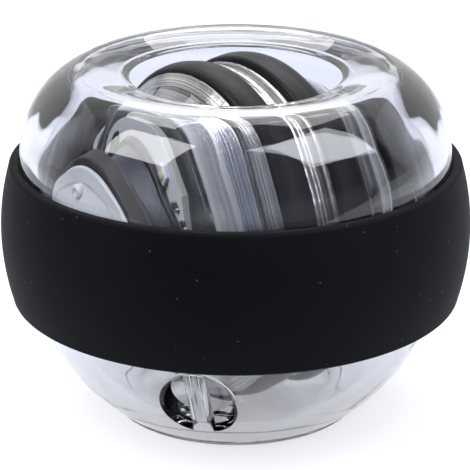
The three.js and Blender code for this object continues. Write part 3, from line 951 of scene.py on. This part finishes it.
class BALL_OT_covers(bpy.types.Operator):
    """Turns the two clear covers over the ends of the flywheel, milky round the outer slope"""

    bl_idname = "wrist_ball.covers"
    bl_label = "Hub covers"

    def execute(self, context):
        sides = context.scene.ball_sizes.rotor_sides
        milky = (CAST_FACE - COVER_FOOT) / (WEB_FACE - COVER_FOOT)
        outline = rounded(
            [
                (BOSS, WEB_BACK, 0.1),
                (COVER_MOUTH - COVER_WALL, WEB_BACK, 0.4),
                (COVER - COVER_WALL, COVER_FOOT, 0.1),
                (COVER, COVER_FOOT, 0.25),
                (COVER - milky * (COVER - COVER_MOUTH), CAST_FACE),
                (COVER_MOUTH, WEB_FACE, 0.4),
                (COVER_MOUTH - COVER_RIM, WEB_FACE, 0.15),
                (COVER_MOUTH - COVER_RIM, WEB_FACE - WEB_DROP, 0.12),
                (BOSS, WEB_FACE - WEB_DROP, 0.1),
            ],
            6,
        )
        least, most = MILKY_SLOPES
        for side, turn in SIDES:
            cover = turned(side + "_clear_cover", outline, rotor_end(turn), sides)
            clear = once(acrylic, linear("f4f6fb"))
            dress(cover, "rotor", clear, [side + "_hub_cover"])
            cover.data.materials.append(once(acrylic_blasted))
            out = rotor_end(turn).to_3x3() @ Vector((0, 0, 1))
            for face in cover.data.polygons:
                reach = (face.center - Vector((0, 0, EQUATOR * MM))).dot(out)
                sloping = least < face.normal.dot(out) < most
                face.material_index = int(sloping and reach > CAST_FACE * MM)
        return {"FINISHED"}


class BALL_OT_boards(bpy.types.Operator):
    """Cuts the boards, each round with one straight side, and turns the bobbins and their coils"""

    bl_idname = "wrist_ball.boards"
    bl_label = "Boards, bobbins and coils"

    def execute(self, context):
        board_outline = [
            (BORE, BOARD_BACK),
            (BOARD, BOARD_BACK, 0.06),
            (BOARD, BOARD_FACE, 0.06),
            (BORE, BOARD_FACE),
        ]
        inner, outer = BOBBIN_BACK + BOBBIN_FLANGE, BOBBIN_FACE - BOBBIN_FLANGE
        bobbin_outline = [
            (BORE, BOBBIN_BACK),
            (BOBBIN, BOBBIN_BACK, 0.2),
            (BOBBIN, inner, 0.2),
            (BOBBIN_CORE, inner),
            (BOBBIN_CORE, outer),
            (BOBBIN, outer, 0.2),
            (BOBBIN, BOBBIN_FACE, 0.2),
            (BORE, BOBBIN_FACE),
        ]
        start, stop = inner + COIL_GAP, outer - COIL_GAP
        turns = int((stop - start) / (context.scene.ball_sizes.wire / MM))
        coil_outline = [(BOBBIN_CORE + COIL_GAP, start)]
        for i in range(turns * RIDGE_STEPS + 1):
            share = i / RIDGE_STEPS
            dip = RIDGE * (1 - abs(math.sin(math.pi * share)))
            place = start + (stop - start) / turns * share
            coil_outline.append((BOBBIN - COIL_INSET - dip, place))
        coil_outline.append((BOBBIN_CORE + COIL_GAP, stop))

        off = Matrix.Translation((BOARD_FLAT - BOARD_CUTTER / 2, 0, 0))
        for side, turn in SIDES:
            place = rotor_end(turn)
            board = turned(side + "_board", rounded(board_outline), place)
            kept = block("kept", [BOARD_CUTTER] * 3, place @ turn_z(BOARD_TURN + 180) @ off)
            cut(board, kept, "INTERSECT")
            dress(board, "rotor", once(solder_mask), [side + "_circuit_board"])
            board.data.materials.append(once(glass_epoxy))
            out = place.to_3x3() @ Vector((0, 0, 1))
            for face in board.data.polygons:
                face.material_index = int(abs(face.normal.dot(out)) < 0.5)
            bobbin = turned(side + "_nylon_bobbin", rounded(bobbin_outline), place, sides=160)
            dress(bobbin, "rotor", once(black_nylon), [side + "_coil_bobbin"])
            coil = turned(side + "_wound_coil", coil_outline, place, sides=160)
            dark = once(winding, linear("2a2c34"))
            dress(coil, "rotor", dark, [side + "_coil"], sharp=50)
        return {"FINISHED"}


class BALL_OT_components(bpy.types.Operator):
    """Sets the lights, chips, resistors and solder joints on the rim of each board"""

    bl_idname = "wrist_ball.components"
    bl_label = "Components"

    def execute(self, context):
        def at(place, degrees, radius):
            """A place on the board's face, its +X out from the axle and its +Z off the board."""
            off = Matrix.Translation((radius, 0, BOARD_FACE + PART_GAP))
            return place @ turn_z(degrees + 180) @ off

        def fit(name, part, here, x, y, finish, stands_for=()):
            """Fits a small block on the board, x and y away from a place on it."""
            size, edge, height = part
            piece = block(name, size, here @ Matrix.Translation((x, y, height)), edge)
            dress(piece, "rotor", finish, stands_for)

        white, black, tin = once(white_abs), once(epoxy_black), once(tin_solder)
        lens_outline = [(0, LED_BODY[0][2])] + arc(0, LED_BODY[0][2], LENS, LENS_CROWN, 0, 90, 8)
        for side, turn in SIDES:
            place = rotor_end(turn)
            for i, angle in enumerate(LED_TURNS, 1):
                here = at(place, angle, PART_OUT)
                name, node = f"{side}_led_body_{i}", f"{side}_led_{i}"
                fit(name, LED_BODY, here, 0, 0, white, [node])
                lens = turned(f"{side}_led_lens_{i}", lens_outline, here, sides=32)
                dress(lens, "rotor", once(led_resin))
            for i, angle in enumerate(CHIP_TURNS, 1):
                here = at(place, angle, PART_OUT)
                name, node = f"{side}_chip_body_{i}", f"{side}_chip_{i}"
                fit(name, CHIP_BODY, here, 0, 0, black, [node])
                for k in range(6):
                    x, y = LEG_OUT if k % 2 else -LEG_OUT, (k // 2 - 1) * LEG_PITCH
                    fit(f"{side}_chip_leg_{i}_{k + 1}", CHIP_LEG, here, x, y, tin)
            for i, (angle, out) in enumerate(RESISTOR_PLACES, 1):
                here = at(place, angle, out)
                fit(f"{side}_resistor_{i}", RESISTOR, here, 0, 0, black)
                for k, y in enumerate((-END_OUT, END_OUT), 1):
                    name = f"{side}_resistor_end_{i}_{k}"
                    fit(name, RESISTOR_END, here, 0, y, tin)
        return {"FINISHED"}


class BALL_OT_studio(bpy.types.Operator):
    """Lays the pale floor, hangs the soft lamps, sets the surroundings and places the camera"""

    bl_idname = "wrist_ball.studio"
    bl_label = "Studio"

    def axes(self, way, across):
        """Towards a softbox from the ball, and along its first and its second diagonal."""
        way = Vector(way).normalized()
        across = (Vector(across) - way * way.dot(Vector(across))).normalized()
        return way, across, way.cross(across)

    def lamp(self, name, way, across, up, size, radiance):
        """A square softbox aimed at the ball and turned so that its diagonals lie level and up."""
        data = bpy.data.lights.new(name, "AREA")
        data.shape = "SQUARE"
        data.size = math.sqrt(size[0] * size[1] / 2)
        data.energy = radiance * math.pi * data.size**2
        made = bpy.data.objects.new(name, data)
        made.matrix_world = (
            Matrix.Translation(Vector((0, 0, EQUATOR * MM)) + way * LAMP_DISTANCE)
            @ Matrix((across, up, way)).transposed().to_4x4()
            @ turn_z(45)
        )
        bpy.context.scene.collection.objects.link(made)

    def panel(self, tree, ray, way, across, up, size):
        """The share of a softbox that stands in a ray's direction, with soft edges."""
        facing, *spans = (
            add(tree, "VectorMath", [ray, axis], operation="DOT_PRODUCT")
            for axis in (way, across, up)
        )
        facing = add(tree, "Math", [facing, 0.001], operation="MAXIMUM")
        out = 0.0
        for span, diagonal in zip(spans, size):
            place = add(tree, "Math", [span, facing], operation="DIVIDE")
            place = add(tree, "Math", [place], operation="ABSOLUTE")
            corner = 2 * LAMP_DISTANCE / diagonal
            out = add(tree, "Math", [place, corner, out], operation="MULTIPLY_ADD")
        share = add(tree, "MapRange", [out, 0.94, 1.04, 1, 0])
        ahead = add(tree, "MapRange", [facing, 0.2, 0.3])
        return add(tree, "Math", [share, ahead], operation="MULTIPLY")

    def lay_paper(self):
        """White paper that keeps shadows, and shows white to the camera and in what mirrors it."""
        made = bmesh.new()
        left, right, front, back = -PAPER_REACH, PAPER_REACH, PAPER_FRONT, PAPER_REACH
        for x, y in ((left, front), (right, front), (right, back), (left, back)):
            made.verts.new((x, y, PAPER_HEIGHT))
        made.faces.new(made.verts)
        mesh = bpy.data.meshes.new("floor")
        made.to_mesh(mesh)
        made.free()
        floor = bpy.data.objects.new("floor", mesh)
        bpy.context.scene.collection.objects.link(floor)
        paper = bpy.data.materials.new("white_paper")
        tree = emptied(paper)
        path = add(tree, "LightPath").node.outputs
        through = add(tree, "Math", [path["Is Transmission Ray"], 0.5], operation="MULTIPLY")
        seen = [path["Is Camera Ray"], mirror_ray(tree, path)]
        seen = [add(tree, "Math", seen, operation="MAXIMUM"), through]
        seen = add(tree, "Math", seen, operation="MAXIMUM")
        glow = add(tree, "MapRange", [seen, 0, 1, 0, PAPER_GLOW])
        matt = add(tree, "BsdfDiffuse", {"Color": linear("a9adb9")})
        lit = add(tree, "Emission", {"Color": WHITE, "Strength": glow})
        mesh.materials.append(ended(paper, add(tree, "AddShader", [matt, lit])))

    def surround(self, world):
        """A grey studio with a white backdrop, in which mirrors also see the softboxes."""
        tree = emptied(world)
        ray = add(tree, "TexCoord", out="Generated")
        parts = add(tree, "SeparateXYZ", [ray]).node.outputs
        path = add(tree, "LightPath").node.outputs
        back = add(tree, "MapRange", [parts["Y"], 0.05, 0.6])
        ahead = add(tree, "MapRange", [parts["Y"], 0.35, 0.8])
        nearer = add(tree, "MapRange", [parts["Y"], -0.8, -0.2, 1, 0])
        high = add(tree, "MapRange", [parts["Z"], -0.02, 0.12])
        front = add(tree, "Mix", [high, linear("9599a3"), linear("3c3e46")], data_type="RGBA")
        mirrored = add(tree, "Mix", [back, front, WHITE], data_type="RGBA")
        dim = add(tree, "Mix", [nearer, linear("24262e"), linear("868b98")], data_type="RGBA")
        through = add(tree, "Mix", [ahead, dim, WHITE], data_type="RGBA")
        sky = linear("a4a8b0")
        for name, seen in (("Glossy", mirrored), ("Transmission", through), ("Camera", WHITE)):
            sky = add(tree, "Mix", [path[f"Is {name} Ray"], sky, seen], data_type="RGBA")
        shine = add(tree, "Background", {"Color": sky, "Strength": 1.0})
        for name, way, across, size, light, mirror in SOFTBOXES:
            axes = self.axes(way, across)
            self.lamp(name, *axes, size, light)
            shares = [self.panel(tree, ray, *axes, size), mirror_ray(tree, path)]
            share = add(tree, "Math", shares, operation="MULTIPLY")
            strength = add(tree, "MapRange", [share, 0, 1, 0, mirror])
            box = add(tree, "Background", {"Color": linear("e9eeff"), "Strength": strength})
            shine = add(tree, "AddShader", [shine, box])
        add(tree, "OutputWorld", {"Surface": shine})

    def execute(self, context):
        self.lay_paper()
        context.scene.world = bpy.data.worlds.new("surroundings")
        self.surround(context.scene.world)

        data = bpy.data.cameras.new("camera")
        data.sensor_width = CAMERA_SENSOR
        data.lens = CAMERA_LENS
        data.shift_x = CAMERA_SHIFT
        camera = bpy.data.objects.new("camera", data)
        camera.location = CAMERA_PLACE
        camera.rotation_euler = (math.pi / 2 - CAMERA_PITCH, 0, 0)
        context.scene.collection.objects.link(camera)
        context.scene.camera = camera
        context.scene.view_settings.view_transform = "Standard"
        cycles = context.scene.cycles
        cycles.caustics_refractive = cycles.caustics_reflective = False
        cycles.transparent_max_bounces = 24
        cycles.max_bounces = cycles.transmission_bounces = 20
        cycles.glossy_bounces = 8
        return {"FINISHED"}


class BALL_PT_panel(bpy.types.Panel):
    """The ball's sizes, colours and steps"""

    bl_idname = "BALL_PT_panel"
    bl_label = "Wrist ball"
    bl_space_type = "VIEW_3D"
    bl_region_type = "UI"
    bl_category = "Wrist ball"

    def draw(self, context):
        for group in (context.scene.ball_sizes, context.scene.ball_colours):
            for name in group.__annotations__:
                self.layout.prop(group, name)
        for step in STEPS:
            self.layout.operator(step.bl_idname)


STEPS = (
    BALL_OT_studio,
    BALL_OT_shells,
    BALL_OT_band,
    BALL_OT_race,
    BALL_OT_magnets,
    BALL_OT_flywheel,
    BALL_OT_tyres,
    BALL_OT_covers,
    BALL_OT_boards,
    BALL_OT_components,
)
CLASSES = (BallSizes, BallColours, *STEPS, BALL_PT_panel)


def register():
    for kind in CLASSES:
        bpy.utils.register_class(kind)
    bpy.types.Scene.ball_sizes = PointerProperty(type=BallSizes)
    bpy.types.Scene.ball_colours = PointerProperty(type=BallColours)


def unregister():
    del bpy.types.Scene.ball_colours
    del bpy.types.Scene.ball_sizes
    for kind in reversed(CLASSES):
        bpy.utils.unregister_class(kind)


def main():
    register()
    bpy.ops.wrist_ball.studio()
    bpy.ops.wrist_ball.shells()
    bpy.ops.wrist_ball.band()
    bpy.ops.wrist_ball.race()
    bpy.ops.wrist_ball.magnets()
    bpy.ops.wrist_ball.flywheel()
    bpy.ops.wrist_ball.tyres()
    bpy.ops.wrist_ball.covers()
    bpy.ops.wrist_ball.boards()
    bpy.ops.wrist_ball.components()


if __name__ == "__main__":
    main()
